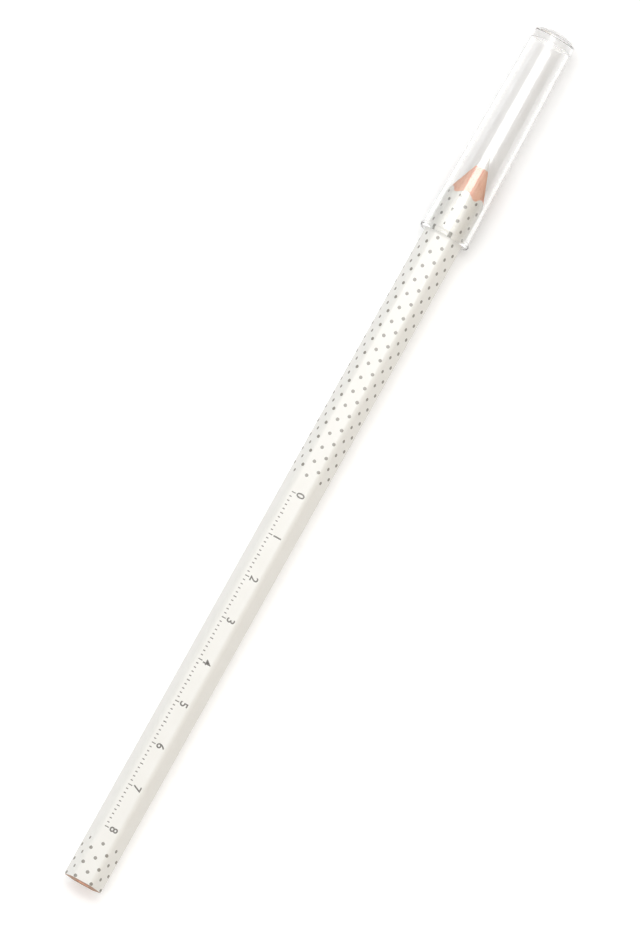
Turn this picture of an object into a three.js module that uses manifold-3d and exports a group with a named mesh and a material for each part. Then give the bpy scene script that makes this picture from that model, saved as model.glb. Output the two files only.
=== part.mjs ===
// Fabric marking pencil: a hexagonal wooden barrel round a pale marking core, lacquered white,
// sharpened in front and kept under a clear push-on cap.
// Lengths are millimetres and angles are degrees. The barrel lies along +X, the middle of its
// cut rear end is the origin, and +Z stands square to its upper flat.

import * as THREE from 'three';
import { mergeVertices } from 'three/addons/utils/BufferGeometryUtils.js';
import Module from 'manifold-3d';

// Barrel
const pencilLength = 175;
const woodAcrossFlats = 7.6;
const woodCornerRadius = 1.26;
const lacquerThickness = 0.14;

// Marking core, bedded in glue between the two slats
const coreDiameter = 3;
const glueFilm = 0.05;

// Sharpened end
const coneHalfAngle = 20.5;
const pointRadius = 0.25;

// Cap: its tapered bore comes to rest on the front ends of the barrel's six corners
const capLength = 49.5;
const capWall = 0.8;
const capDraft = 1;
const capSeatDepth = 9;
const capSeatClearance = 0.12;
const capMouthChamfer = 0.25;
const capBeadWidth = 1;
const capBeadHeight = 0.3;
const capEndThickness = 3;
const capEndCorner = 0.4;
const capBoreCorner = 1;
const capCrown = 1;
const gateDimpleRadius = 1.1;
const gateDimpleDepth = 1.4;

// Facets: steps round a full turn, and steps in one quarter or corner arc
const coreSteps = 48;
const coneSteps = 96;
const capSteps = 28;
const cornerSteps = 6;
const roundingSteps = 5;

const radians = THREE.MathUtils.degToRad;
const barrelAxis = new THREE.Vector3(1, 0, 0);
const leftward = new THREE.Vector3(0, 1, 0);
const upward = new THREE.Vector3(0, 0, 1);

// Sizes that follow from the ones above
const coreRadius = coreDiameter / 2;
const lacquerAcrossFlats = woodAcrossFlats + 2 * lacquerThickness;
const lacquerCornerRadius = woodCornerRadius + lacquerThickness;
const coneSlope = Math.tan(radians(coneHalfAngle));
const coneApexX = pencilLength - pointRadius + pointRadius / Math.sin(radians(coneHalfAngle));
const barrelCornerReach = cornerReach(lacquerAcrossFlats, lacquerCornerRadius);
const cornerFrontX = coneApexX - barrelCornerReach / coneSlope;
const capMouthX = cornerFrontX - capSeatDepth;

// Distance from the axis to the crest of a rounded hexagon's corner
function cornerReach(acrossFlats, cornerRadius) {
  return (acrossFlats / 2 - cornerRadius) / Math.cos(radians(30)) + cornerRadius;
}

// Points of a circular arc, both ends included
function arcPoints(centreX, centreY, radius, startAngle, endAngle, steps) {
  const points = [];
  for (let step = 0; step <= steps; step += 1) {
    const angle = radians(startAngle + ((endAngle - startAngle) * step) / steps);
    points.push(new THREE.Vector2(centreX + radius * Math.cos(angle), centreY + radius * Math.sin(angle)));
  }
  return points;
}

// Upper half of a rounded hexagon, from the crest of its left corner over the top to the right one
function upperHexagon(acrossFlats, cornerRadius) {
  const centreDistance = (acrossFlats / 2 - cornerRadius) / Math.cos(radians(30));
  const points = [];
  for (const corner of [0, 60, 120, 180]) {
    const startAngle = Math.max(corner - 30, 0);
    const endAngle = Math.min(corner + 30, 180);
    const steps = (cornerSteps * (endAngle - startAngle)) / 60;
    const centreX = centreDistance * Math.cos(radians(corner));
    const centreY = centreDistance * Math.sin(radians(corner));
    points.push(...arcPoints(centreX, centreY, cornerRadius, startAngle, endAngle, steps));
  }
  points[0].y = 0;
  points[points.length - 1].set(-points[0].x, 0);
  return points;
}

// Whole rounded hexagon: the upper half and the same half turned over
function fullHexagon(acrossFlats, cornerRadius) {
  const upper = upperHexagon(acrossFlats, cornerRadius);
  const lower = upper.slice(1, -1).map((point) => new THREE.Vector2(-point.x, -point.y));
  return [...upper, ...lower];
}

// A section drawn looking back along the barrel, pushed forward from the rear end
function pushedAlongBarrel(shape, length) {
  const geometry = new THREE.ExtrudeGeometry(shape, { depth: length, bevelEnabled: false });
  return geometry.applyMatrix4(new THREE.Matrix4().makeBasis(leftward, upward, barrelAxis));
}

// A profile of radius and distance along the barrel, turned about the barrel's axis. Its first
// facet edge lies on the left, or the start angle above that
function turnedAboutBarrel(profile, steps, startAngle = 0) {
  const geometry = new THREE.LatheGeometry(profile, steps, radians(startAngle));
  return geometry.applyMatrix4(new THREE.Matrix4().makeBasis(upward, barrelAxis, leftward));
}

// Closed mesh with shared corners merged and the collapsed triangles at its poles left out
function welded(geometry) {
  const bare = geometry.clone();
  bare.deleteAttribute('normal');
  bare.deleteAttribute('uv');
  const merged = mergeVertices(bare);
  const corners = merged.index.array;
  const kept = [];
  for (let first = 0; first < corners.length; first += 3) {
    const [a, b, c] = corners.slice(first, first + 3);
    if (a !== b && b !== c && c !== a) {
      kept.push(a, b, c);
    }
  }
  merged.setIndex(kept);
  merged.computeVertexNormals();
  return merged;
}

const wasm = await Module();
wasm.setup();

function solidOf(geometry) {
  const closed = welded(geometry);
  return new wasm.Manifold(new wasm.Mesh({
    numProp: 3,
    vertProperties: new Float32Array(closed.attributes.position.array),
    triVerts: new Uint32Array(closed.index.array),
  }));
}

function geometryOf(solid) {
  const mesh = solid.getMesh();
  const geometry = new THREE.BufferGeometry();
  geometry.setAttribute('position', new THREE.BufferAttribute(new Float32Array(mesh.vertProperties), 3));
  geometry.setIndex(new THREE.BufferAttribute(new Uint32Array(mesh.triVerts), 1));
  geometry.computeVertexNormals();
  return geometry;
}

// What the sharpener leaves: a round blank wider than the barrel that ends in the writing cone
function sharpenedEnvelope() {
  const blankRadius = 2 * barrelCornerReach;
  const rearX = -blankRadius;
  const shoulderX = coneApexX - blankRadius / coneSlope;
  const profile = [
    new THREE.Vector2(0, rearX),
    new THREE.Vector2(blankRadius, rearX),
    new THREE.Vector2(blankRadius, shoulderX),
    new THREE.Vector2(0, coneApexX),
  ];
  return solidOf(turnedAboutBarrel(profile, coneSteps));
}

function sharpened(geometry) {
  return geometryOf(solidOf(geometry).intersect(sharpenedEnvelope()));
}

// Half of the wooden casing: a half hexagon with a half-round groove for the core
function slat() {
  const groove = arcPoints(0, 0, coreRadius + glueFilm, 180, 0, coreSteps / 2);
  groove[0].y = 0;
  groove[groove.length - 1].y = 0;
  const section = new THREE.Shape([...upperHexagon(woodAcrossFlats, woodCornerRadius), ...groove]);
  return sharpened(pushedAlongBarrel(section, pencilLength));
}

// The slat below is the same piece, turned half round about the barrel's axis
function turnedOver(geometry) {
  return geometry.clone().applyMatrix4(new THREE.Matrix4().makeScale(1, -1, -1));
}

// The sharpener cuts the coat back furthest on the flats' corners, which leaves it scalloped
function lacquerCoat() {
  const section = new THREE.Shape(fullHexagon(lacquerAcrossFlats, lacquerCornerRadius));
  section.holes.push(new THREE.Path(fullHexagon(woodAcrossFlats, woodCornerRadius)));
  return sharpened(pushedAlongBarrel(section, pencilLength));
}

// Round rod from the rear end to the blunt point, its cone flush with the wood's
function markingCore() {
  const coneStartX = coneApexX - coreRadius / coneSlope;
  const bluntStart = 90 - coneHalfAngle;
  const point = arcPoints(0, pencilLength - pointRadius, pointRadius, 90 - bluntStart, 90, roundingSteps);
  point[point.length - 1].x = 0;
  const profile = [
    new THREE.Vector2(0, 0),
    new THREE.Vector2(coreRadius, 0),
    new THREE.Vector2(coreRadius, coneStartX),
    ...point,
  ];
  return welded(turnedAboutBarrel(profile, coreSteps));
}

// Radius of the cap's tapered bore at a depth inside its mouth
function capBoreRadius(depth) {
  const seatRadius = barrelCornerReach + capSeatClearance;
  return seatRadius + (capSeatDepth - depth) * Math.tan(radians(capDraft));
}

// Bore of the cap, from the middle of its blind end out to the mouth
function capInside() {
  const blindDepth = capLength - capEndThickness;
  const cornerDepth = blindDepth - capBoreCorner;
  const cornerCentre = capBoreRadius(cornerDepth) - capBoreCorner;
  return [
    new THREE.Vector2(0, blindDepth),
    ...arcPoints(cornerCentre, cornerDepth, capBoreCorner, 90, 0, roundingSteps),
    new THREE.Vector2(capBoreRadius(capMouthChamfer), capMouthChamfer),
    new THREE.Vector2(capBoreRadius(0) + capMouthChamfer, 0),
  ];
}

// Half-round bead that stiffens the mouth, standing proud of the wall
function capBead() {
  const bead = [];
  for (let step = 0; step <= 2 * roundingSteps; step += 1) {
    const share = step / (2 * roundingSteps);
    const depth = capBeadWidth * share;
    const height = capBeadHeight * Math.sin(Math.PI * share) ** 0.5;
    bead.push(new THREE.Vector2(capBoreRadius(depth) + capWall + height, depth));
  }
  return bead;
}

// Closed end: a small corner that runs smoothly into a crown, with the gate's dimple in the middle
function capClosedEnd() {
  const rimDepth = capLength - capCrown;
  const centreRadius = capBoreRadius(rimDepth) + capWall - capEndCorner;
  const endAngle = THREE.MathUtils.radToDeg(Math.atan2(centreRadius, 2 * capCrown));
  const centreDepth = rimDepth - capEndCorner * Math.sin(radians(endAngle));
  const corner = arcPoints(centreRadius, centreDepth, capEndCorner, 0, endAngle, roundingSteps);
  const crownRadius = corner[corner.length - 1].x;
  const crown = [];
  for (let step = 1; step <= roundingSteps; step += 1) {
    const radius = crownRadius + ((gateDimpleRadius - crownRadius) * step) / roundingSteps;
    crown.push(new THREE.Vector2(radius, capLength - capCrown * (radius / crownRadius) ** 2));
  }
  return [...corner, ...crown, new THREE.Vector2(0, capLength - gateDimpleDepth)];
}

// Clear cap, turned half a facet round so that it lies on a flat facet, as the barrel does
function cap() {
  const profile = [...capInside(), ...capBead(), ...capClosedEnd()];
  return welded(turnedAboutBarrel(profile, capSteps, 180 / capSteps));
}

function piece(name, geometry, look) {
  const mesh = new THREE.Mesh(geometry, new THREE.MeshStandardMaterial(look));
  mesh.name = name;
  return mesh;
}

const woodLook = { color: 0xe3b091, roughness: 0.75, metalness: 0 };
const coreLook = { color: 0xeceae6, roughness: 0.85, metalness: 0 };
const lacquerLook = { color: 0xf3f2ec, roughness: 0.28, metalness: 0 };
const capLook = { color: 0xf4f7f8, roughness: 0.06, metalness: 0, transparent: true, opacity: 0.3 };

const upperSlat = slat();

const pencil = new THREE.Group();
pencil.add(piece('upper_slat', upperSlat, woodLook));
pencil.add(piece('lower_slat', turnedOver(upperSlat), woodLook));
pencil.add(piece('marking_core', markingCore(), coreLook));
pencil.add(piece('lacquer_coat', lacquerCoat(), lacquerLook));

const pushOnCap = new THREE.Group();
pushOnCap.add(piece('cap', cap(), capLook));
pushOnCap.position.x = capMouthX;

const markingPencil = new THREE.Group();
markingPencil.add(pencil, pushOnCap);

export default markingPencil;
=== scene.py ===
"""Dresses a fabric marking pencil and its clear push-on cap, and lights them for their picture.

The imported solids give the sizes: the finer pieces here follow the same rounded hexagonal barrel, the same
writing cone and the same tapered cap, and add the dotted print, the scale, the grain and the finishes.
Lengths are metres. +X runs from the cut rear end to the point, and +Z is square to the upper flat.
"""

from __future__ import annotations

import logging
import math
from dataclasses import dataclass, field
from enum import Enum

import bmesh
import bpy
from mathutils import Matrix, Vector, noise

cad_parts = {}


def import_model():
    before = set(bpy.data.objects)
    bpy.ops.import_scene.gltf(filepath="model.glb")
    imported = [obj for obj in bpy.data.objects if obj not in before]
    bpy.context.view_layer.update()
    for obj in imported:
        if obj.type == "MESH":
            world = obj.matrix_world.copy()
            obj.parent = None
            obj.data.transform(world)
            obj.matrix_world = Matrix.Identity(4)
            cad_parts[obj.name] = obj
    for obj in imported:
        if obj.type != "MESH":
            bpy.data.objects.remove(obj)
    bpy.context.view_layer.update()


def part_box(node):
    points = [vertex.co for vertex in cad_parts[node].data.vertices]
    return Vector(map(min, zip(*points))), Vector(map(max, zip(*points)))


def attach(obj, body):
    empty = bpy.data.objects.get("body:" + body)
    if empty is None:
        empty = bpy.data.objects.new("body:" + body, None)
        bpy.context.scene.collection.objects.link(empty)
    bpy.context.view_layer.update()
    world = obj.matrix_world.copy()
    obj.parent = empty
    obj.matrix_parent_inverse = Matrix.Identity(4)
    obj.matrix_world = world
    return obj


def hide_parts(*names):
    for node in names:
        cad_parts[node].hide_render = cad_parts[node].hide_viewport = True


log = logging.getLogger("marking_pencil")

MM = 0.001
WHITE = (1.0, 1.0, 1.0)
Colour = tuple[float, float, float]
Point2 = tuple[float, float]
Profile = list[Point2]


class Body(Enum):
    """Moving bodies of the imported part."""

    PENCIL = "pencil"
    CAP = "cap"


class Slot(Enum):
    """Names of the material slots of the pencil and its cap."""

    WOOD = "wood"
    CORE = "core"
    LACQUER = "lacquer"
    CLEAR = "clear_plastic"


class Ends(Enum):
    """How a skin over a row of rings is closed."""

    JOINED = "last ring joined to the first"
    FLAT = "a flat face over each end ring"
    POINTS = "a fan from each end ring to its middle or to a tip"


# Meshes


def make_object(name: str, mesh: bpy.types.Mesh) -> bpy.types.Object:
    """Links a new object for a mesh to the scene.

    Args:
        name: Name of the piece.
        mesh: Its mesh, in the row frame.

    Returns:
        The new object, at the origin.
    """
    piece = bpy.data.objects.new(name, mesh)
    bpy.context.scene.collection.objects.link(piece)
    return piece


def finish_mesh(name: str, bm: bmesh.types.BMesh, crease: float) -> bpy.types.Object:
    """Turns a bmesh into a smooth-shaded object whose sharp edges stay sharp.

    Args:
        name: Name of the piece.
        bm: Closed mesh, which is freed here.
        crease: Angle in degrees above which an edge is sharp.

    Returns:
        The finished object.
    """
    bmesh.ops.recalc_face_normals(bm, faces=bm.faces)
    for face in bm.faces:
        face.smooth = True
    mesh = bpy.data.meshes.new(name)
    bm.to_mesh(mesh)
    bm.free()
    mesh.set_sharp_from_angle(angle=math.radians(crease))
    return make_object(name, mesh)


def settle(
    piece: bpy.types.Object,
    materials: list[bpy.types.Material],
    body: Body,
    node: str | None = None,
) -> None:
    """Dresses a piece and hands it to the frame.

    Args:
        piece: The piece.
        materials: Its materials.
        body: The body that it rides on.
        node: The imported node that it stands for, if it stands for one.
    """
    for material in materials:
        piece.data.materials.append(material)
    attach(piece, body.value)
    if node:
        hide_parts(node)
    log.info("%s: %d vertices", piece.name, len(piece.data.vertices))


def add_skin(
    bm: bmesh.types.BMesh,
    rings: list[list[Vector]],
    ends: Ends,
    tips: tuple[Vector, Vector] | None = None,
) -> list[bmesh.types.BMFace]:
    """Skins a row of closed rings that all have as many points.

    Args:
        bm: Mesh to add to.
        rings: Rows of points.
        ends: How the first and last rings are closed.
        tips: Where the two fans of Ends.POINTS meet, if not in the middle of the end rings.

    Returns:
        The new faces, side faces first, in the order of the rings.
    """
    rows = [[bm.verts.new(point) for point in ring] for ring in rings]
    count = len(rings[0])
    faces = []
    pairs = list(zip(rows, rows[1:]))
    if ends is Ends.JOINED:
        pairs.append((rows[-1], rows[0]))
    for lower, upper in pairs:
        for i in range(count):
            j = (i + 1) % count
            faces.append(bm.faces.new((lower[i], lower[j], upper[j], upper[i])))
    last_rows = (rows[0], rows[-1])
    if ends is Ends.FLAT:
        for row in last_rows:
            faces.append(bm.faces.new(row))
    if ends is Ends.POINTS:
        places = tips or [sum((v.co for v in row), Vector()) / count for row in last_rows]
        for row, place in zip(last_rows, places):
            middle = bm.verts.new(place)
            for i in range(count):
                faces.append(bm.faces.new((row[i], row[(i + 1) % count], middle)))
    return faces


def turned(name: str, profile: Profile, steps: int, crease: float) -> bpy.types.Object:
    """Turns a profile that starts and ends on the axis about the barrel's axis.

    Args:
        name: Name of the piece.
        profile: Points of (x, radius), with radius 0 only first and last.
        steps: Facets round the axis.
        crease: Angle in degrees above which an edge is sharp.

    Returns:
        The closed piece.
    """
    bm = bmesh.new()
    turn = [math.tau * i / steps for i in range(steps)]
    rings = [[Vector((x, r * math.cos(a), r * math.sin(a))) for a in turn] for x, r in profile[1:-1]]
    tips = (Vector((profile[0][0], 0.0, 0.0)), Vector((profile[-1][0], 0.0, 0.0)))
    add_skin(bm, rings, Ends.POINTS, tips)
    return finish_mesh(name, bm, crease)


def arc(centre: Point2, radius: float, start: float, end: float, steps: int) -> Profile:
    """Points of an arc in (x, radius) space, both ends included.

    Args:
        centre: Middle of the arc.
        radius: Its radius.
        start: First angle in degrees, 0 pointing away from the axis and 90 along +X.
        end: Last angle in degrees.
        steps: Number of steps.

    Returns:
        The points in order.
    """
    points = []
    for i in range(steps + 1):
        angle = math.radians(start + (end - start) * i / steps)
        points.append((centre[0] + radius * math.sin(angle), centre[1] + radius * math.cos(angle)))
    return points


def moved(point: Vector, x: float) -> Vector:
    """Gives a point of a section its place along the barrel."""
    return Vector((x, point.y, point.z))


def uneven(x: float, y: float, z: float) -> float:
    """Looks up smooth noise, from -1 to 1; plain numbers in a call only choose a stretch of it."""
    return noise.noise(Vector((x, y, z)))


# Shader nodes


class Wiring:
    """A tree of shader nodes, with helpers for the nodes that a value passes through."""

    def __init__(self, tree: bpy.types.NodeTree) -> None:
        """Keeps the tree's nodes and links."""
        self.nodes = tree.nodes
        self.links = tree.links

    def node(self, kind: str, **settings: object) -> bpy.types.Node:
        """Adds a node.

        Args:
            kind: Blender's name of its type.
            settings: Its properties.

        Returns:
            The node.
        """
        made = self.nodes.new(kind)
        for key, value in settings.items():
            setattr(made, key, value)
        return made

    def join(self, value: object, socket: bpy.types.NodeSocket) -> None:
        """Feeds an input.

        Args:
            value: The socket that it is joined to, or the value that it is set to.
            socket: The input.
        """
        if isinstance(value, bpy.types.NodeSocket):
            self.links.new(value, socket)
        else:
            socket.default_value = value

    def math(self, operation: str, first: object, second: object) -> bpy.types.NodeSocket:
        """Works out one value from two.

        Args:
            operation: Blender's name of the operation.
            first: A socket or a number.
            second: A socket or a number.

        Returns:
            The outcome.
        """
        made = self.node("ShaderNodeMath", operation=operation)
        self.join(first, made.inputs[0])
        self.join(second, made.inputs[1])
        return made.outputs[0]

    def span(
        self, value: bpy.types.NodeSocket, levels: Point2, reach: Point2 = (0.0, 1.0)
    ) -> bpy.types.NodeSocket:
        """Maps a value from its reach on two levels and holds it there.

        Args:
            value: What is mapped.
            levels: What the reach's ends become.
            reach: Lowest and highest value.

        Returns:
            The mapped value.
        """
        made = self.node("ShaderNodeMapRange")
        made.inputs["From Min"].default_value, made.inputs["From Max"].default_value = reach
        made.inputs["To Min"].default_value, made.inputs["To Max"].default_value = levels
        self.join(value, made.inputs["Value"])
        return made.outputs["Result"]

    def ramp(
        self, value: bpy.types.NodeSocket, reach: Point2, colours: tuple[Colour, Colour]
    ) -> bpy.types.NodeSocket:
        """Turns a value into a colour.

        Args:
            value: The value, 0 to 1.
            reach: Where the first colour ends and where the second begins.
            colours: The two colours.

        Returns:
            The colour.
        """
        made = self.node("ShaderNodeValToRGB")
        for element, position, colour in zip(made.color_ramp.elements, reach, colours):
            element.position = position
            element.color = (*colour, 1.0)
        self.join(value, made.inputs["Fac"])
        return made.outputs["Color"]

    def seen_ray(self, through_glass: float) -> bpy.types.NodeSocket:
        """Adds a mask of the rays that show what they meet: straight, mirrored or through glass.

        Args:
            through_glass: The mask's value for a ray that comes through glass.

        Returns:
            The mask, 0 for a ray that only carries light.
        """
        rays = self.node("ShaderNodeLightPath").outputs
        behind = self.math("MULTIPLY", rays["Is Transmission Ray"], through_glass)
        mirrored = self.math("MAXIMUM", behind, rays["Is Glossy Ray"])
        return self.math("MAXIMUM", mirrored, rays["Is Camera Ray"])


class Group(Wiring):
    """Shader node group with named inputs and outputs, built once and placed in materials."""

    def __init__(self, name: str, inputs: dict[str, float], outputs: tuple[str, ...]) -> None:
        """Makes the empty group.

        Args:
            name: Name of the group.
            inputs: Value inputs with their defaults, next to the Vector that every group takes.
            outputs: Value outputs.
        """
        self.tree = bpy.data.node_groups.new(name, "ShaderNodeTree")
        super().__init__(self.tree)
        sockets = self.tree.interface
        sockets.new_socket("Vector", in_out="INPUT", socket_type="NodeSocketVector")
        for key, value in inputs.items():
            socket = sockets.new_socket(key, in_out="INPUT", socket_type="NodeSocketFloat")
            socket.default_value = value
        for key in outputs:
            sockets.new_socket(key, in_out="OUTPUT", socket_type="NodeSocketFloat")
        self.start = self.node("NodeGroupInput").outputs
        self.end = self.node("NodeGroupOutput").inputs

    def give(self, name: str, value: bpy.types.NodeSocket) -> None:
        """Feeds one of the group's outputs."""
        self.join(value, self.end[name])

    def noise(
        self, detail: float, fineness: float = 1.0, along: float = 1.0, scale: str = "Scale"
    ) -> bpy.types.NodeSocket:
        """Adds a noise texture.

        Args:
            detail: Octaves.
            fineness: How many times finer it is than the scale input says.
            along: How fine it is along X, as a share of that.
            scale: Name of the scale input.

        Returns:
            The noise value, 0 to 1.
        """
        where = self.node("ShaderNodeVectorMath", operation="MULTIPLY")
        self.join(self.start["Vector"], where.inputs[0])
        self.join((along, 1.0, 1.0), where.inputs[1])
        made = self.node("ShaderNodeTexNoise")
        self.join(where.outputs[0], made.inputs["Vector"])
        self.join(self.math("MULTIPLY", self.start[scale], fineness), made.inputs["Scale"])
        self.join(detail, made.inputs["Detail"])
        return made.outputs[0]

    def peaks(self, value: bpy.types.NodeSocket, floor: float, gain: float) -> bpy.types.NodeSocket:
        """Raises what stands above a floor; what lies under it turns negative."""
        return self.math("MULTIPLY", self.math("SUBTRACT", value, floor), gain)


def build_grain() -> Group:
    """Builds the wood grain: growth bands, fibres and pores that run along X.

    Returns:
        The group, with outputs Band and Fibre, 0 to 1, and Pore, above 0 only in the pores.
    """
    scales = {"Fibre Scale": 3000.0, "Band Scale": 1100.0}
    group = Group("wood_grain", scales, ("Band", "Fibre", "Pore"))
    group.give("Band", group.noise(detail=1.5, along=0.02, scale="Band Scale"))
    group.give("Fibre", group.noise(detail=3.0, along=0.045, scale="Fibre Scale"))
    pore = group.noise(detail=0.0, fineness=1.7, along=0.12, scale="Fibre Scale")
    group.give("Pore", group.peaks(pore, floor=0.62, gain=6.0))
    return group


def build_speckle() -> Group:
    """Builds a fine speckle for pressed chalk, cut wood and print.

    Returns:
        The group, with outputs Coarse and Fine, each 0 to 1.
    """
    group = Group("speckle", {"Scale": 9000.0}, ("Coarse", "Fine"))
    group.give("Fine", group.noise(detail=2.0))
    group.give("Coarse", group.noise(detail=2.0, fineness=0.13))
    return group


def build_handling() -> Group:
    """Builds the faint marks of handling: soft smears and hair scratches.

    Returns:
        The group, with outputs Smear and Wave, 0 to 1, and Scratch, 0 outside the scratches.
    """
    group = Group("handling_marks", {"Scale": 260.0}, ("Smear", "Scratch", "Wave"))
    group.give("Smear", group.noise(detail=3.0))
    hair = group.noise(detail=0.0, fineness=42.0, along=0.06)
    group.give("Scratch", group.math("MAXIMUM", group.peaks(hair, floor=0.66, gain=7.0), 0.0))
    group.give("Wave", group.noise(detail=1.0, fineness=3.2))
    return group


# Finishes


@dataclass
class Palette:
    """The shader groups that the finishes share."""

    grain: Group = field(default_factory=build_grain)
    speckle: Group = field(default_factory=build_speckle)
    handling: Group = field(default_factory=build_handling)


class Surface(Wiring):
    """One material under construction: a Principled shader with helpers for what feeds it."""

    def __init__(self, name: str) -> None:
        """Makes the material with its Principled shader.

        Args:
            name: Name of the material.
        """
        self.material = bpy.data.materials.new(name)
        self.material.use_nodes = True
        super().__init__(self.material.node_tree)
        self.shader = next(n for n in self.nodes if n.type == "BSDF_PRINCIPLED")
        self.output = next(n for n in self.nodes if n.type == "OUTPUT_MATERIAL")
        self.place = self.node("ShaderNodeTexCoord").outputs["Object"]

    def put(self, group: Group, **values: float) -> bpy.types.NodeOutputs:
        """Places a shader group, looked up in object coordinates.

        Args:
            group: The group.
            values: Its input values, where they aren't the defaults.

        Returns:
            The placed group's outputs.
        """
        made = self.node("ShaderNodeGroup", node_tree=group.tree)
        self.join(self.place, made.inputs["Vector"])
        for key, value in values.items():
            self.join(value, made.inputs[key])
        return made.outputs

    def feed(self, socket: str, value: object) -> None:
        """Joins a socket to one of the shader's inputs, or sets that input."""
        self.join(value, self.shader.inputs[socket])

    def stain(
        self, ground: bpy.types.NodeSocket, share: bpy.types.NodeSocket, colour: Colour
    ) -> bpy.types.NodeSocket:
        """Mixes a colour over another.

        Args:
            ground: The colour below.
            share: 0 for the one below, 1 for the one on top.
            colour: The colour on top.

        Returns:
            The mixed colour.
        """
        made = self.node("ShaderNodeMix", data_type="RGBA", clamp_factor=True)
        self.join(share, made.inputs["Factor"])
        below, above = (s for s in made.inputs if s.type == "RGBA")
        self.join(ground, below)
        self.join((*colour, 1.0), above)
        return next(s for s in made.outputs if s.type == "RGBA")

    def relief(self, height: bpy.types.NodeSocket, depth: float) -> None:
        """Feeds a bump to the shader's normal.

        Args:
            height: Height, 0 to 1.
            depth: What 1 stands for, in metres.
        """
        made = self.node("ShaderNodeBump")
        self.join(1.0, made.inputs["Strength"])
        self.join(depth, made.inputs["Distance"])
        self.join(height, made.inputs["Height"])
        self.feed("Normal", made.outputs["Normal"])


@dataclass(frozen=True)
class LacquerFinish:
    """Smooth white lacquer in several thin coats, a little uneven, with faint marks of handling."""

    white: Colour = (0.908, 0.900, 0.858)
    thin: Colour = (0.893, 0.883, 0.838)
    thin_to_white: Point2 = (0.3, 0.62)
    marks_scale: float = 230.0
    roughness: Point2 = (0.15, 0.22)
    scratch_roughness: float = 0.08
    index: float = 1.5
    wave_depth: float = 0.0012 * MM

    def build(self, palette: Palette) -> bpy.types.Material:
        """Builds the material from the shared groups.

        Args:
            palette: The groups.

        Returns:
            The material.
        """
        surface = Surface("white_lacquer")
        marks = surface.put(palette.handling, Scale=self.marks_scale)
        tone = surface.ramp(marks["Smear"], self.thin_to_white, (self.thin, self.white))
        surface.feed("Base Color", tone)
        smooth = surface.span(marks["Smear"], self.roughness)
        scuffs = surface.math("MULTIPLY", marks["Scratch"], self.scratch_roughness)
        surface.feed("Roughness", surface.math("ADD", smooth, scuffs))
        surface.feed("IOR", self.index)
        surface.relief(marks["Wave"], self.wave_depth)
        return surface.material


@dataclass(frozen=True)
class InkFinish:
    """Warm grey ink printed on the lacquer, uneven where it is thin."""

    name: str = "grey_ink"
    full: Colour = (0.255, 0.240, 0.208)
    thin: Colour = (0.345, 0.330, 0.292)
    thin_to_full: Point2 = (0.35, 0.6)
    dust_scale: float = 14000.0
    roughness: float = 0.2
    index: float = 1.65
    depth: float = 0.002 * MM

    def build(self, palette: Palette) -> bpy.types.Material:
        """Builds the material from the shared groups.

        Args:
            palette: The groups.

        Returns:
            The material.
        """
        surface = Surface(self.name)
        dust = surface.put(palette.speckle, Scale=self.dust_scale)
        surface.feed("Base Color", surface.ramp(dust["Fine"], self.thin_to_full, (self.thin, self.full)))
        surface.feed("Roughness", self.roughness)
        surface.feed("IOR", self.index)
        surface.relief(dust["Fine"], self.depth)
        return surface.material


@dataclass(frozen=True)
class WoodFinish:
    """Pinkish light wood, bare where it is cut, with close straight grain."""

    name: str = "cut_wood"
    light: Colour = (0.950, 0.570, 0.415)
    dark: Colour = (0.850, 0.400, 0.260)
    streak: Colour = (0.720, 0.300, 0.180)
    dark_to_light: Point2 = (0.36, 0.58)
    fibre_share: Point2 = (-0.35, 0.75)
    pore_share: float = 0.6
    pore_height: float = -0.5
    dust_scale: float = 6000.0
    roughness: Point2 = (0.64, 0.82)
    depth: float = 0.012 * MM

    def build(self, palette: Palette) -> bpy.types.Material:
        """Builds the material from the shared groups.

        Args:
            palette: The groups.

        Returns:
            The material.
        """
        surface = Surface(self.name)
        grain = surface.put(palette.grain)
        dust = surface.put(palette.speckle, Scale=self.dust_scale)
        bands = surface.ramp(grain["Band"], self.dark_to_light, (self.dark, self.light))
        fibres = surface.stain(bands, surface.span(grain["Fibre"], self.fibre_share), self.dark)
        pores = surface.math("MULTIPLY", grain["Pore"], self.pore_share)
        surface.feed("Base Color", surface.stain(fibres, pores, self.streak))
        surface.feed("Roughness", surface.span(dust["Fine"], self.roughness))
        pits = surface.math("MULTIPLY", grain["Pore"], self.pore_height)
        surface.relief(surface.math("ADD", grain["Fibre"], pits), self.depth)
        return surface.material


@dataclass(frozen=True)
class ChalkFinish:
    """Matt white marking core, chalky and a little waxy, with a fine pressed grain."""

    white: Colour = (0.905, 0.898, 0.885)
    grey: Colour = (0.855, 0.846, 0.830)
    grey_to_white: Point2 = (0.35, 0.6)
    dust_scale: float = 8000.0
    roughness: Point2 = (0.72, 0.90)
    depth: float = 0.012 * MM

    def build(self, palette: Palette) -> bpy.types.Material:
        """Builds the material from the shared groups.

        Args:
            palette: The groups.

        Returns:
            The material.
        """
        surface = Surface("pressed_chalk")
        dust = surface.put(palette.speckle, Scale=self.dust_scale)
        surface.feed("Base Color", surface.ramp(dust["Coarse"], self.grey_to_white, (self.grey, self.white)))
        surface.feed("Roughness", surface.span(dust["Fine"], self.roughness))
        surface.relief(dust["Fine"], self.depth)
        return surface.material


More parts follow.
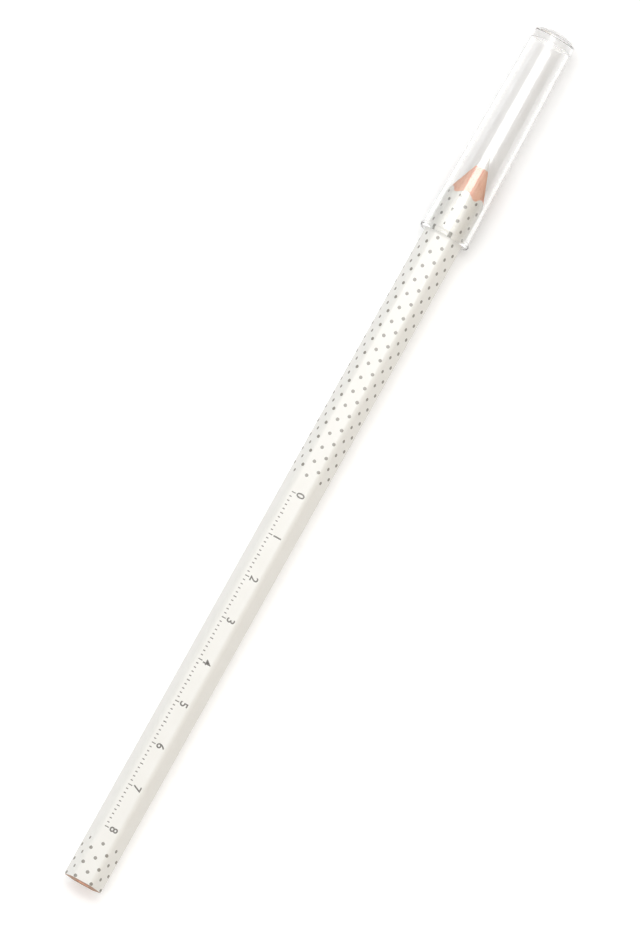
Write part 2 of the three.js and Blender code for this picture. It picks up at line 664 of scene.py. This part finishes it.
@dataclass(frozen=True)
class ClearFinish:
    """Clear moulded plastic with faint hair scratches, grey only where light goes a long way in it."""

    tint: Colour = (0.995, 0.995, 0.991)
    index: float = 1.55
    marks_scale: float = 300.0
    roughness: Point2 = (0.0, 0.03)
    scratch_roughness: float = 0.03
    let_through: Colour = (0.5, 0.5, 0.5)
    density: float = 16.0

    def build(self, palette: Palette) -> bpy.types.Material:
        """Builds the material from the shared groups.

        Args:
            palette: The groups.

        Returns:
            The material.
        """
        surface = Surface("clear_plastic")
        marks = surface.put(palette.handling, Scale=self.marks_scale)
        surface.feed("Base Color", (*self.tint, 1.0))
        surface.feed("Transmission Weight", 1.0)
        surface.feed("IOR", self.index)
        smooth = surface.span(marks["Smear"], self.roughness)
        scuffs = surface.math("MULTIPLY", marks["Scratch"], self.scratch_roughness)
        surface.feed("Roughness", surface.math("ADD", smooth, scuffs))
        inside = surface.node("ShaderNodeVolumeAbsorption")
        surface.join((*self.let_through, 1.0), inside.inputs["Color"])
        surface.join(self.density, inside.inputs["Density"])
        surface.join(inside.outputs["Volume"], surface.output.inputs["Volume"])
        return surface.material


# Barrel


@dataclass(frozen=True)
class BarrelForm:
    """Rounded hexagonal section of the barrel and the cone that the sharpener cuts on it."""

    across_flats: float
    corner_radius: float
    apex_x: float
    slope: float
    flat_steps: int = 16
    corner_steps: int = 12

    @property
    def flat_half(self) -> float:
        """Half the width of a flat, up to where its corners begin to round."""
        return (self.across_flats / 2 - self.corner_radius) * math.tan(math.radians(30))

    @property
    def side(self) -> float:
        """Girth of one flat with half of the corner on each of its sides."""
        return 2 * self.flat_half + self.corner_radius * math.radians(60)

    @property
    def girth(self) -> float:
        """Girth all round."""
        return 6 * self.side

    def place(self, girth_at: float, lift: float = 0.0) -> Vector:
        """Finds a point of the section.

        Args:
            girth_at: Distance round the section from the middle of the upper flat, towards -Y.
            lift: Height above the section, along its normal.

        Returns:
            The point, with x = 0.
        """
        face = math.floor((girth_at + self.side / 2) / self.side)
        offset = girth_at - face * self.side
        bend = 0.0
        flat = offset
        if abs(offset) > self.flat_half:
            bend = math.copysign(abs(offset) - self.flat_half, offset) / self.corner_radius
            flat = math.copysign(self.flat_half, offset)
        square = math.radians(60 * face)
        normal = Vector((0.0, -math.sin(square), math.cos(square)))
        side = Vector((0.0, -math.cos(square), -math.sin(square)))
        centre = normal * (self.across_flats / 2 - self.corner_radius) + side * flat
        turned_normal = normal * math.cos(bend) + side * math.sin(bend)
        return centre + turned_normal * (self.corner_radius + lift)

    def stations(self) -> list[float]:
        """Lists girth distances all round, from the crest of the +Y corner, dense at the corners.

        Returns:
            The distances, without the last, which is the first again.
        """
        found = []
        half = self.corner_steps // 2
        for face in range(-1, 5):
            middle = face * self.side
            for i in range(half):
                found.append(middle - self.side / 2 + self.corner_radius * math.radians(30) * i / half)
            for i in range(self.flat_steps):
                found.append(middle - self.flat_half + 2 * self.flat_half * i / self.flat_steps)
            for i in range(half):
                found.append(middle + self.flat_half + self.corner_radius * math.radians(30) * i / half)
        return found

    def cone_x(self, radius: float) -> float:
        """Finds where the writing cone has this radius."""
        return self.apex_x - radius / self.slope


@dataclass
class PencilSizes:
    """Sizes of the wooden pencil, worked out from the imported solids' boxes."""

    cone_half_angle: float = 20.5
    point_radius: float = 0.25 * MM
    lacquer: BarrelForm = field(init=False)
    wood: BarrelForm = field(init=False)
    core_radius: float = field(init=False)
    length: float = field(init=False)

    def __post_init__(self) -> None:
        """Reads the boxes."""
        half_angle = math.radians(self.cone_half_angle)
        core_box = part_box("marking_core")[1]
        self.length = core_box.x
        self.core_radius = core_box.z
        apex = self.length - self.point_radius + self.point_radius / math.sin(half_angle)
        self.lacquer = self.form(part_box("lacquer_coat")[1], apex, math.tan(half_angle))
        self.wood = self.form(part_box("upper_slat")[1], apex, math.tan(half_angle))

    @staticmethod
    def form(top: Vector, apex: float, slope: float) -> BarrelForm:
        """Works out a rounded hexagon from its box.

        Args:
            top: Highest corner of the box.
            apex: Where the writing cone's sides meet.
            slope: Radius of the cone for each metre back from there.

        Returns:
            The form.
        """
        stretch = 1 / math.cos(math.radians(30))
        corner = (top.z * stretch - top.y) / (stretch - 1)
        return BarrelForm(2 * top.z, corner, apex, slope)


@dataclass
class WoodenPencil:
    """The casing's two slats, the marking core and the lacquer coat.

    A gap is what a piece stands back from its neighbour, so that no two faces lie in one place. A pair of
    lengths is a step along the barrel and one in towards its axis. A turn is in radians, and a wave is how
    fast an unevenness changes.
    """

    sizes: PencilSizes
    palette: Palette
    coat_rounding: float = 0.05 * MM
    coat_rounding_turns: tuple[float, ...] = (1.57, 1.05, 0.52, 0.0)
    coat_shares: tuple[float, ...] = (0.02, 0.1, 0.3, 0.5, 0.7, 0.9, 0.98, 1.0)
    coat_lip: Point2 = (-0.02 * MM, 0.015 * MM)
    coat_chip: float = 0.07 * MM
    chip_level: float = 0.35
    chip_wave: float = 1900.0
    crumb_wave: float = 5200.0
    crumb_share: float = 0.5
    coat_crease: float = 40.0
    skin_gap: float = 0.004 * MM
    seam_gap: float = 0.003 * MM
    groove_gap: float = 0.01 * MM
    cone_rings: int = 14
    face_rings: int = 3
    shaving: float = 0.006 * MM
    shaving_waves: Point2 = (900.0, 300.0)
    slat_crease: float = 35.0
    core_recess: float = 0.3 * MM
    core_burr: Point2 = (-0.06 * MM, 0.2 * MM)
    core_edge: Point2 = (0.03 * MM, 0.01 * MM)
    shoulder_starts: Point2 = (-0.02 * MM, 0.0)
    shoulder_ends: Point2 = (0.05 * MM, 0.045 * MM)
    tip_steps: int = 8
    tip_flat: float = 0.01 * MM
    core_rings: int = 16
    core_facets: int = 96
    core_crease: float = 50.0
    ripple: float = 0.004 * MM
    ripple_turns: float = 31.0
    wear: float = 0.008 * MM
    wear_wave: float = 2600.0

    def build(self) -> None:
        """Builds every piece."""
        self.coat(LacquerFinish().build(self.palette))
        cut_wood = WoodFinish().build(self.palette)
        end_grain = WoodFinish(
            name="end_grain", light=(0.57, 0.36, 0.25), dark=(0.43, 0.25, 0.165), streak=(0.31, 0.17, 0.11)
        ).build(self.palette)
        for name, turn in (("upper_slat", 0.0), ("lower_slat", math.pi)):
            self.slat(name, turn, [cut_wood, end_grain])
        self.core(ChalkFinish().build(self.palette))

    def coat(self, lacquer: bpy.types.Material) -> None:
        """Builds the lacquer coat, rounded over at the rear and scalloped where the cone cuts it.

        Args:
            lacquer: Its material.
        """
        outer = self.sizes.lacquer
        inner = self.sizes.wood
        rounding = self.coat_rounding
        lip_along, lip_inside = self.coat_lip
        loops = []
        for at_outer, at_inner in zip(outer.stations(), inner.stations()):
            shell = outer.place(at_outer)
            bore = inner.place(at_inner)
            chips = uneven(at_outer * self.chip_wave, 3.7, 1.1)
            crumbs = uneven(at_outer * self.crumb_wave, 9.2, 4.4)
            ragged = self.chip_level + chips + self.crumb_share * crumbs
            front = outer.cone_x(shell.length) - self.coat_chip * max(0.0, ragged)
            cut = inner.cone_x(bore.length)
            loop = [moved(bore, 0.0)]
            for turn in self.coat_rounding_turns:
                edge = outer.place(at_outer, -rounding * (1 - math.cos(turn)))
                loop.append(moved(edge, rounding * (1 - math.sin(turn))))
            for share in self.coat_shares:
                loop.append(moved(shell, rounding + (front - 2 * rounding) * share))
            loop.append(moved(outer.place(at_outer, -lip_inside), front + lip_along))
            loop += [moved(bore, cut), moved(bore, cut / 2)]
            loops.append(loop)
        bm = bmesh.new()
        add_skin(bm, loops, Ends.JOINED)
        piece = finish_mesh("lacquer_shell", bm, self.coat_crease)
        settle(piece, [lacquer], Body.PENCIL, "lacquer_coat")

    def slat(self, node: str, turn: float, materials: list[bpy.types.Material]) -> None:
        """Builds one slat: half a hexagon with a groove for the core, sharpened in front.

        Args:
            node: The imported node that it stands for.
            turn: Turn about the barrel's axis.
            materials: Cut wood, and the end grain of its rear face.
        """
        form = self.sizes.wood
        groove = self.sizes.core_radius + self.groove_gap
        round_wave, in_wave = self.shaving_waves
        around = form.stations()
        loops = []
        for at in around[: len(around) // 2 + 1]:
            edge = form.place(at, -self.skin_gap)
            radius = edge.length
            ray = edge / radius
            loop = []
            for i in range(self.face_rings):
                loop.append(ray * (groove + (radius - groove) * i / self.face_rings))
            loop.append(ray * radius)
            for i in range(self.cone_rings + 1):
                at_radius = radius + (groove - radius) * i / self.cone_rings
                blade = uneven(at * round_wave, at_radius * in_wave, 2.0 + turn)
                shaved = self.shaving * blade if 0 < i < self.cone_rings else 0.0
                loop.append(moved(ray * at_radius, form.cone_x(at_radius) + shaved))
            for point in loop:
                point.z += self.seam_gap
            loops.append(loop)
        bm = bmesh.new()
        faces = add_skin(bm, loops, Ends.FLAT)
        count = len(loops[0])
        for index, face in enumerate(faces[: (len(loops) - 1) * count]):
            if index % count < self.face_rings:
                face.material_index = 1
        if turn:
            bmesh.ops.rotate(bm, verts=bm.verts, cent=Vector(), matrix=Matrix.Rotation(turn, 3, "X"))
        piece = finish_mesh(node + "_wood", bm, self.slat_crease)
        settle(piece, materials, Body.PENCIL, node)

    def core(self, chalk: bpy.types.Material) -> None:
        """Builds the marking core: broken below the cut at the rear, worn to a blunt point in front.

        Args:
            chalk: Its material.
        """
        radius = self.sizes.core_radius
        form = self.sizes.wood
        blunt = self.sizes.point_radius
        shoulder = form.cone_x(radius)
        rear = self.core_recess
        profile = [(rear, 0.0), (rear, radius * 0.5)]
        profile += [(rear + along, radius - inside) for along, inside in (self.core_burr, self.core_edge)]
        profile += [(shoulder * share, radius) for share in (0.2, 0.5, 0.8)]
        for along, inside in (self.shoulder_starts, self.shoulder_ends):
            profile.append((shoulder + along, radius - inside))
        middle = (self.sizes.length - blunt, 0.0)
        tip = arc(middle, blunt, self.sizes.cone_half_angle, 90.0, self.tip_steps)
        for i in range(1, self.core_rings):
            share = i / self.core_rings
            at_radius = radius + (tip[0][1] - radius) * share
            ripple = self.ripple * math.sin(share * self.ripple_turns)
            profile.append((form.cone_x(at_radius), at_radius + ripple))
        profile += tip[:-1]
        profile.append((self.sizes.length - self.tip_flat, 0.0))
        piece = turned("marking_core_rod", profile, self.core_facets, self.core_crease)
        for vertex in piece.data.vertices:
            if vertex.co.x > shoulder:
                worn = self.wear * noise.noise(vertex.co * self.wear_wave)
                vertex.co.y += worn
                vertex.co.z -= worn
        settle(piece, [chalk], Body.PENCIL, "marking_core")


# Print


@dataclass
class PrintedDots:
    """Staggered dots all round the barrel, in a band at the rear and one up to the sharpened end.

    Each dot is a thin closed patch of ink that follows the barrel's round. Its full rings are given as shares
    of its radius. The edge ring has a share of the ink's height too, and the last is sunk into the lacquer.
    """

    form: BarrelForm
    ink: bpy.types.Material
    lines: int = 14
    first_line: float = -0.257 * MM
    centre_line: int = 2
    drift: float = -0.0052
    straight_at: float = 80.0 * MM
    pitch: float = 3.349 * MM
    radius: float = 0.39 * MM
    rear_even: float = 2.25 * MM
    rear_odd: float = 0.41 * MM
    rear_band_end: float = 9.3 * MM
    front_even: float = 96.93 * MM
    front_odd: float = 98.60 * MM
    rear_margin: float = 0.06 * MM
    front_margin: float = 0.09 * MM
    height: float = 0.006 * MM
    sink: float = 0.02 * MM
    full_rings: tuple[float, ...] = (0.12, 0.34, 0.56, 0.78, 0.93)
    edge_ring: Point2 = (0.99, 0.5)
    steps: int = 20
    seed_step: float = 1.7
    size_spread: float = 0.05
    edge_wobble: float = 0.035
    edge_waves: float = 2.0
    crease: float = 60.0

    def rows(self, even: bool, front_end: float) -> list[float]:
        """Lists where a line of dots has its dots.

        Args:
            even: Whether the line is one of the even ones.
            front_end: How far forward the lacquer reaches there.

        Returns:
            The distances from the rear end.
        """
        rear = self.rear_even if even else self.rear_odd
        front = self.front_even if even else self.front_odd
        found = []
        for x, band_end in ((rear, self.rear_band_end), (front, front_end + self.radius)):
            while x < band_end:
                found.append(x)
                x += self.pitch
        return found

    def front_at(self, girth_at: float) -> float:
        """Finds how far forward the lacquer reaches at a place round the barrel."""
        return self.form.cone_x(self.form.place(girth_at).length) - self.front_margin

    def dot(self, bm: bmesh.types.BMesh, x: float, girth_at: float, seed: float) -> None:
        """Adds one dot, cut off where the lacquer ends.

        Args:
            bm: Mesh to add to.
            x: Middle of the dot along the barrel.
            girth_at: Middle of the dot round the barrel.
            seed: What its small unevenness follows.
        """
        size = self.radius * (1.0 + self.size_spread * uneven(seed, 0.3, 0.7))
        edge_share, edge_height = self.edge_ring
        dome = [(share, self.height) for share in self.full_rings]
        dome += [(edge_share, self.height * edge_height), (1.0, -self.sink)]
        loops = []
        for share, lift in dome:
            loop = []
            for i in range(self.steps):
                angle = math.tau * i / self.steps
                along, across = math.cos(angle), math.sin(angle)
                wobble = uneven(seed, self.edge_waves * along, self.edge_waves * across)
                reach = size * share * (1.0 + self.edge_wobble * wobble)
                girth_here = girth_at + reach * across
                x_here = max(x + reach * along, self.rear_margin)
                point = self.form.place(girth_here, lift)
                loop.append(moved(point, min(x_here, self.front_at(girth_here))))
            loops.append(loop)
        add_skin(bm, loops, Ends.POINTS)

    def build(self) -> None:
        """Builds the whole print as one piece."""
        spacing = self.form.girth / self.lines
        bm = bmesh.new()
        for line in range(self.lines):
            girth_at = self.first_line + (line - self.centre_line) * spacing
            for x in self.rows(line % 2 == 0, self.front_at(girth_at)):
                drifted = girth_at + self.drift * (x - self.straight_at)
                self.dot(bm, x, drifted, self.seed_step * line + x / MM)
        piece = finish_mesh("dot_print", bm, self.crease)
        settle(piece, [self.ink], Body.PENCIL)


@dataclass
class CentimetreScale:
    """A plain centimetre scale, read with the point at the left; its top is the upper flat's height."""

    top: float
    ink: bpy.types.Material
    zero: float = 92.5 * MM
    centimetres: int = 8
    line_y: float = 1.42 * MM
    tick_width: float = 0.20 * MM
    short_tick: float = 0.50 * MM
    middle_tick: float = 0.70 * MM
    long_tick: float = 0.92 * MM
    figure_height: float = 1.75 * MM
    figure_share: float = 0.7
    figure_y: float = -0.56 * MM
    figure_weight: float = 0.035 * MM
    figure_steps: int = 6
    height: float = 0.006 * MM
    sink: float = 0.01 * MM
    weld: float = 0.0001 * MM
    crease: float = 30.0

    def tick(self, bm: bmesh.types.BMesh, x: float, reach: float) -> None:
        """Adds one tick as a thin closed bar, square to the barrel.

        Args:
            bm: Mesh to add to.
            x: Where it lies along the barrel.
            reach: Its length.
        """
        half = self.tick_width / 2
        corners = ((-half, 0.0), (half, 0.0), (half, reach), (-half, reach))
        levels = (self.top - self.sink, self.top + self.height)
        rings = [[Vector((x + dx, self.line_y - dy, z)) for dx, dy in corners] for z in levels]
        add_skin(bm, rings, Ends.FLAT)

    def figure(self, bm: bmesh.types.BMesh, number: int, x: float) -> None:
        """Adds one figure, its top towards -Y.

        Args:
            bm: Mesh to add to.
            number: The number.
            x: Where its middle lies along the barrel.
        """
        letters = bpy.data.curves.new("figure", "FONT")
        letters.body = str(number)
        letters.align_x = "CENTER"
        letters.align_y = "CENTER"
        letters.size = self.figure_height / self.figure_share
        letters.offset = self.figure_weight
        letters.extrude = (self.height + self.sink) / 2
        letters.resolution_u = self.figure_steps
        shape = bpy.data.objects.new("figure", letters)
        mesh = shape.to_mesh()
        turn = Matrix.Diagonal((-1.0, -1.0, 1.0, 1.0))
        turn.translation = Vector((x, self.figure_y, self.top + (self.height - self.sink) / 2))
        mesh.transform(turn)
        bm.from_mesh(mesh)
        shape.to_mesh_clear()
        bpy.data.objects.remove(shape)
        bpy.data.curves.remove(letters)

    def build(self) -> None:
        """Builds the scale as one piece."""
        bm = bmesh.new()
        for step in range(10 * self.centimetres + 1):
            reach = self.middle_tick if step % 5 == 0 else self.short_tick
            if step % 10 == 0:
                reach = self.long_tick
            self.tick(bm, self.zero - step * MM, reach)
        for number in range(self.centimetres + 1):
            self.figure(bm, number, self.zero - 10 * number * MM)
        bmesh.ops.remove_doubles(bm, verts=bm.verts, dist=self.weld)
        piece = finish_mesh("centimetre_scale", bm, self.crease)
        settle(piece, [self.ink], Body.PENCIL)


# Cap


@dataclass
class PushOnCap:
    """The clear push-on cap: tapered, beaded at its mouth, with a crowned, dimpled closed end.

    Its bore seats on the barrel's corners, whose distance from the axis is the corner reach.
    """

    corner_reach: float
    clear: bpy.types.Material
    length: float = 49.5 * MM
    wall: float = 0.8 * MM
    draft: float = 1.0
    seat_depth: float = 9.0 * MM
    seat_clearance: float = 0.12 * MM
    mouth_chamfer: float = 0.25 * MM
    mouth_lip: Point2 = (0.02 * MM, 0.05 * MM)
    bead_width: float = 1.2 * MM
    bead_height: float = 0.3 * MM
    bead_steps: int = 16
    bead_foot: Point2 = (0.15 * MM, 0.01 * MM)
    end_thickness: float = 3.0 * MM
    end_corner: float = 0.5 * MM
    bore_corner: float = 0.4 * MM
    corner_steps: int = 12
    wall_shares: tuple[float, ...] = (0.2, 0.4, 0.6, 0.8)
    crown: float = 1.0 * MM
    crown_steps: int = 28
    dimple_radius: float = 1.1 * MM
    dimple_depth: float = 1.0 * MM
    dimple_lip: float = 0.12 * MM
    dimple_step: float = 0.05 * MM
    dimple_shares: tuple[float, ...] = (0.25, 0.5, 0.75, 0.92)
    facets: int = 256
    crease: float = 40.0

    def bore(self, depth: float) -> float:
        """Finds the bore's radius at a depth inside the mouth."""
        taper = (self.seat_depth - depth) * math.tan(math.radians(self.draft))
        return self.corner_reach + self.seat_clearance + taper

    def inside(self) -> Profile:
        """Lists the bore's profile, from the middle of its blind end out to the mouth.

        Returns:
            Points of (depth, radius).
        """
        blind = self.length - self.end_thickness
        corner = blind - self.bore_corner
        centre = self.bore(corner) - self.bore_corner
        mouth = self.bore(0.0) + self.mouth_chamfer
        points = [(blind, 0.0), (blind, centre * 0.5)]
        points += arc((corner, centre), self.bore_corner, 90.0, 0.0, self.corner_steps)
        points += [(corner * share, self.bore(corner * share)) for share in reversed(self.wall_shares)]
        points.append((self.mouth_chamfer, self.bore(self.mouth_chamfer)))
        lip_depth, lip_rise = self.mouth_lip
        points += [(lip_depth, mouth), (0.0, mouth + lip_rise)]
        return points

    def outside(self) -> Profile:
        """Lists the outer profile, from the bead at the mouth to the middle of the closed end.

        Returns:
            Points of (depth, radius).
        """
        points = []
        for i in range(self.bead_steps + 1):
            share = i / self.bead_steps
            depth = self.bead_width * share
            height = self.bead_height * math.sin(math.pi * share)
            points.append((depth, self.bore(depth) + self.wall + height))
        foot_run, foot_drop = self.bead_foot
        points.append((self.bead_width + foot_run, self.bore(self.bead_width) + self.wall - foot_drop))
        rim = self.length - self.crown
        centre = self.bore(rim) + self.wall - self.end_corner
        end_angle = math.degrees(math.atan2(centre, 2 * self.crown))
        corner = rim - self.end_corner * math.sin(math.radians(end_angle))
        points += [(corner * share, self.bore(corner * share) + self.wall) for share in self.wall_shares]
        points += arc((corner, centre), self.end_corner, 0.0, end_angle, self.corner_steps)
        crown_radius = points[-1][1]
        lip = self.dimple_radius + self.dimple_lip
        for i in range(1, self.crown_steps + 1):
            radius = crown_radius + (lip - crown_radius) * i / self.crown_steps
            points.append((self.length - self.crown * (radius / crown_radius) ** 2, radius))
        edge = self.length - self.crown * (self.dimple_radius / crown_radius) ** 2
        floor = self.length - self.dimple_depth
        points.append((edge - self.dimple_step, self.dimple_radius))
        for share in self.dimple_shares:
            points.append((edge + (floor - edge) * share, self.dimple_radius * (1 - share)))
        points.append((floor, 0.0))
        return points

    def build(self) -> None:
        """Builds the cap as one piece."""
        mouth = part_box("cap")[0].x
        profile = [(mouth + x, radius) for x, radius in self.inside() + self.outside()]
        piece = turned("clear_cap", profile, self.facets, self.crease)
        settle(piece, [self.clear], Body.CAP, "cap")


# Studio


@dataclass(frozen=True)
class Lamp:
    """Level soft lamp: its radiance, how far it reaches along X and Y, and its height."""

    name: str
    radiance: float
    along: Point2
    across: Point2
    height: float = 1.2

    def hang(self) -> None:
        """Hangs the lamp, facing down."""
        (low_x, high_x), (low_y, high_y) = self.along, self.across
        data = bpy.data.lights.new(self.name, "AREA")
        data.shape = "RECTANGLE"
        data.size = high_x - low_x
        data.size_y = high_y - low_y
        data.energy = self.radiance * math.pi * data.size * data.size_y
        lamp = bpy.data.objects.new(self.name, data)
        bpy.context.scene.collection.objects.link(lamp)
        lamp.location = ((low_x + high_x) / 2, (low_y + high_y) / 2, self.height)


@dataclass
class Studio:
    """Pale floor that the pencil lies on, a broad and a narrow lamp, an even surround and the camera."""

    floor_white: float = 0.965
    floor_reach: float = 3.0
    floor_lift: float = 0.2
    floor_through_glass: float = 0.75
    surround: float = 0.51
    mirrored_walls: float = 0.4
    wall_heights: Point2 = (0.05, 0.4)
    shaded_side: Colour = (1.0, 0.90, 0.78)
    shaded_from: float = 0.8
    lamps: tuple[Lamp, ...] = (
        Lamp("broad_lamp", 0.93, (-0.7, 0.9), (-0.6, 1.0)),
        Lamp("strip_lamp", 4.6, (0.25, 0.46), (-0.27, 0.47), 1.19),
    )
    camera_at: tuple[float, float, float] = (-0.34456, -0.38072, 3.95835)
    camera_forward: tuple[float, float, float] = (0.11134, 0.09503, -0.98923)
    camera_down: tuple[float, float, float] = (-0.86745, -0.47641, -0.14340)
    lens: float = 746.42
    sensor: float = 36.0
    clip: Point2 = (0.05, 20.0)

    def build(self, rear: Vector, front: Vector) -> None:
        """Sets everything up.

        Args:
            rear: A point of the floor under the barrel's rear end.
            front: A point of the floor under the cap's bead.
        """
        self.floor(rear, front)
        for lamp in self.lamps:
            lamp.hang()
        self.world()
        self.camera()

    def floor(self, rear: Vector, front: Vector) -> None:
        """Builds the floor, which touches the barrel's rear edge and the cap's bead.

        Args:
            rear: Lowest point at the rear.
            front: Lowest point at the front.
        """
        along = (front - rear).normalized() * self.floor_reach
        across = Vector((0.0, self.floor_reach, 0.0))
        bm = bmesh.new()
        corners = [rear + along * i + across * j for i, j in ((-1, -1), (1, -1), (1, 1), (-1, 1))]
        bm.faces.new([bm.verts.new(corner) for corner in corners])
        mesh = bpy.data.meshes.new("floor")
        bm.to_mesh(mesh)
        bm.free()
        floor = make_object("floor", mesh)
        surface = Surface("pale_floor")
        white = self.floor_white
        surface.feed("Base Color", (white, white, white, 1.0))
        surface.feed("Roughness", 1.0)
        surface.feed("Specular IOR Level", 0.0)
        surface.feed("Emission Color", (*WHITE, 1.0))
        seen = surface.seen_ray(self.floor_through_glass)
        surface.feed("Emission Strength", surface.math("MULTIPLY", seen, self.floor_lift))
        floor.data.materials.append(surface.material)

    def world(self) -> None:
        """Lights the surround evenly, warmer away from the lamps, with darker walls in mirrors and glass."""
        world = bpy.data.worlds.new("surround")
        world.use_nodes = True
        wiring = Wiring(world.node_tree)
        background = next(n for n in wiring.nodes if n.type == "BACKGROUND")
        direction = wiring.node("ShaderNodeSeparateXYZ")
        wiring.join(wiring.node("ShaderNodeTexCoord").outputs["Generated"], direction.inputs[0])
        away = wiring.math("MULTIPLY", direction.outputs["Y"], -1.0)
        side = wiring.ramp(away, (0.0, self.shaded_from), (WHITE, self.shaded_side))
        wiring.join(side, background.inputs["Color"])
        walls = wiring.span(direction.outputs["Z"], (self.mirrored_walls, 1.0), self.wall_heights)
        shown = wiring.node("ShaderNodeMix")
        wiring.join(wiring.seen_ray(through_glass=1.0), shown.inputs["Factor"])
        wiring.join(self.surround, shown.inputs["A"])
        wiring.join(walls, shown.inputs["B"])
        straight = wiring.node("ShaderNodeLightPath").outputs["Is Camera Ray"]
        wiring.join(wiring.math("MAXIMUM", straight, shown.outputs["Result"]), background.inputs["Strength"])
        bpy.context.scene.world = world

    def camera(self) -> None:
        """Places the camera at the picture's viewing angle."""
        forward = Vector(self.camera_forward).normalized()
        up = -Vector(self.camera_down)
        up = (up - forward * up.dot(forward)).normalized()
        right = forward.cross(up)
        data = bpy.data.cameras.new("camera")
        data.lens = self.lens
        data.sensor_width = self.sensor
        data.clip_start, data.clip_end = self.clip
        camera = bpy.data.objects.new("camera", data)
        bpy.context.scene.collection.objects.link(camera)
        frame = Matrix((right, up, -forward)).transposed().to_4x4()
        frame.translation = Vector(self.camera_at)
        camera.matrix_world = frame
        bpy.context.scene.camera = camera


def main() -> None:
    """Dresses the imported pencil, then sets up the studio."""
    logging.basicConfig(level=logging.INFO, format="%(name)s %(message)s")
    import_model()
    palette = Palette()
    sizes = PencilSizes()
    half_flats = sizes.lacquer.across_flats / 2
    WoodenPencil(sizes, palette).build()
    PrintedDots(sizes.lacquer, InkFinish().build(palette)).build()
    dark_ink = InkFinish(name="dark_ink", full=(0.095, 0.086, 0.072), thin=(0.135, 0.124, 0.106))
    CentimetreScale(half_flats, dark_ink.build(palette)).build()
    corner_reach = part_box("lacquer_coat")[1].y
    PushOnCap(corner_reach, ClearFinish().build(palette)).build()
    cap_low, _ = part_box("cap")
    bead_x = cap_low.x + PushOnCap.bead_width / 2
    Studio().build(Vector((0.0, 0.0, -half_flats)), Vector((bead_x, 0.0, cap_low.z)))
    scene = bpy.context.scene
    scene.view_settings.view_transform = "Standard"
    bounces = 64
    scene.cycles.max_bounces = bounces
    scene.cycles.glossy_bounces = bounces
    scene.cycles.transmission_bounces = bounces


if __name__ == "__main__":
    main()
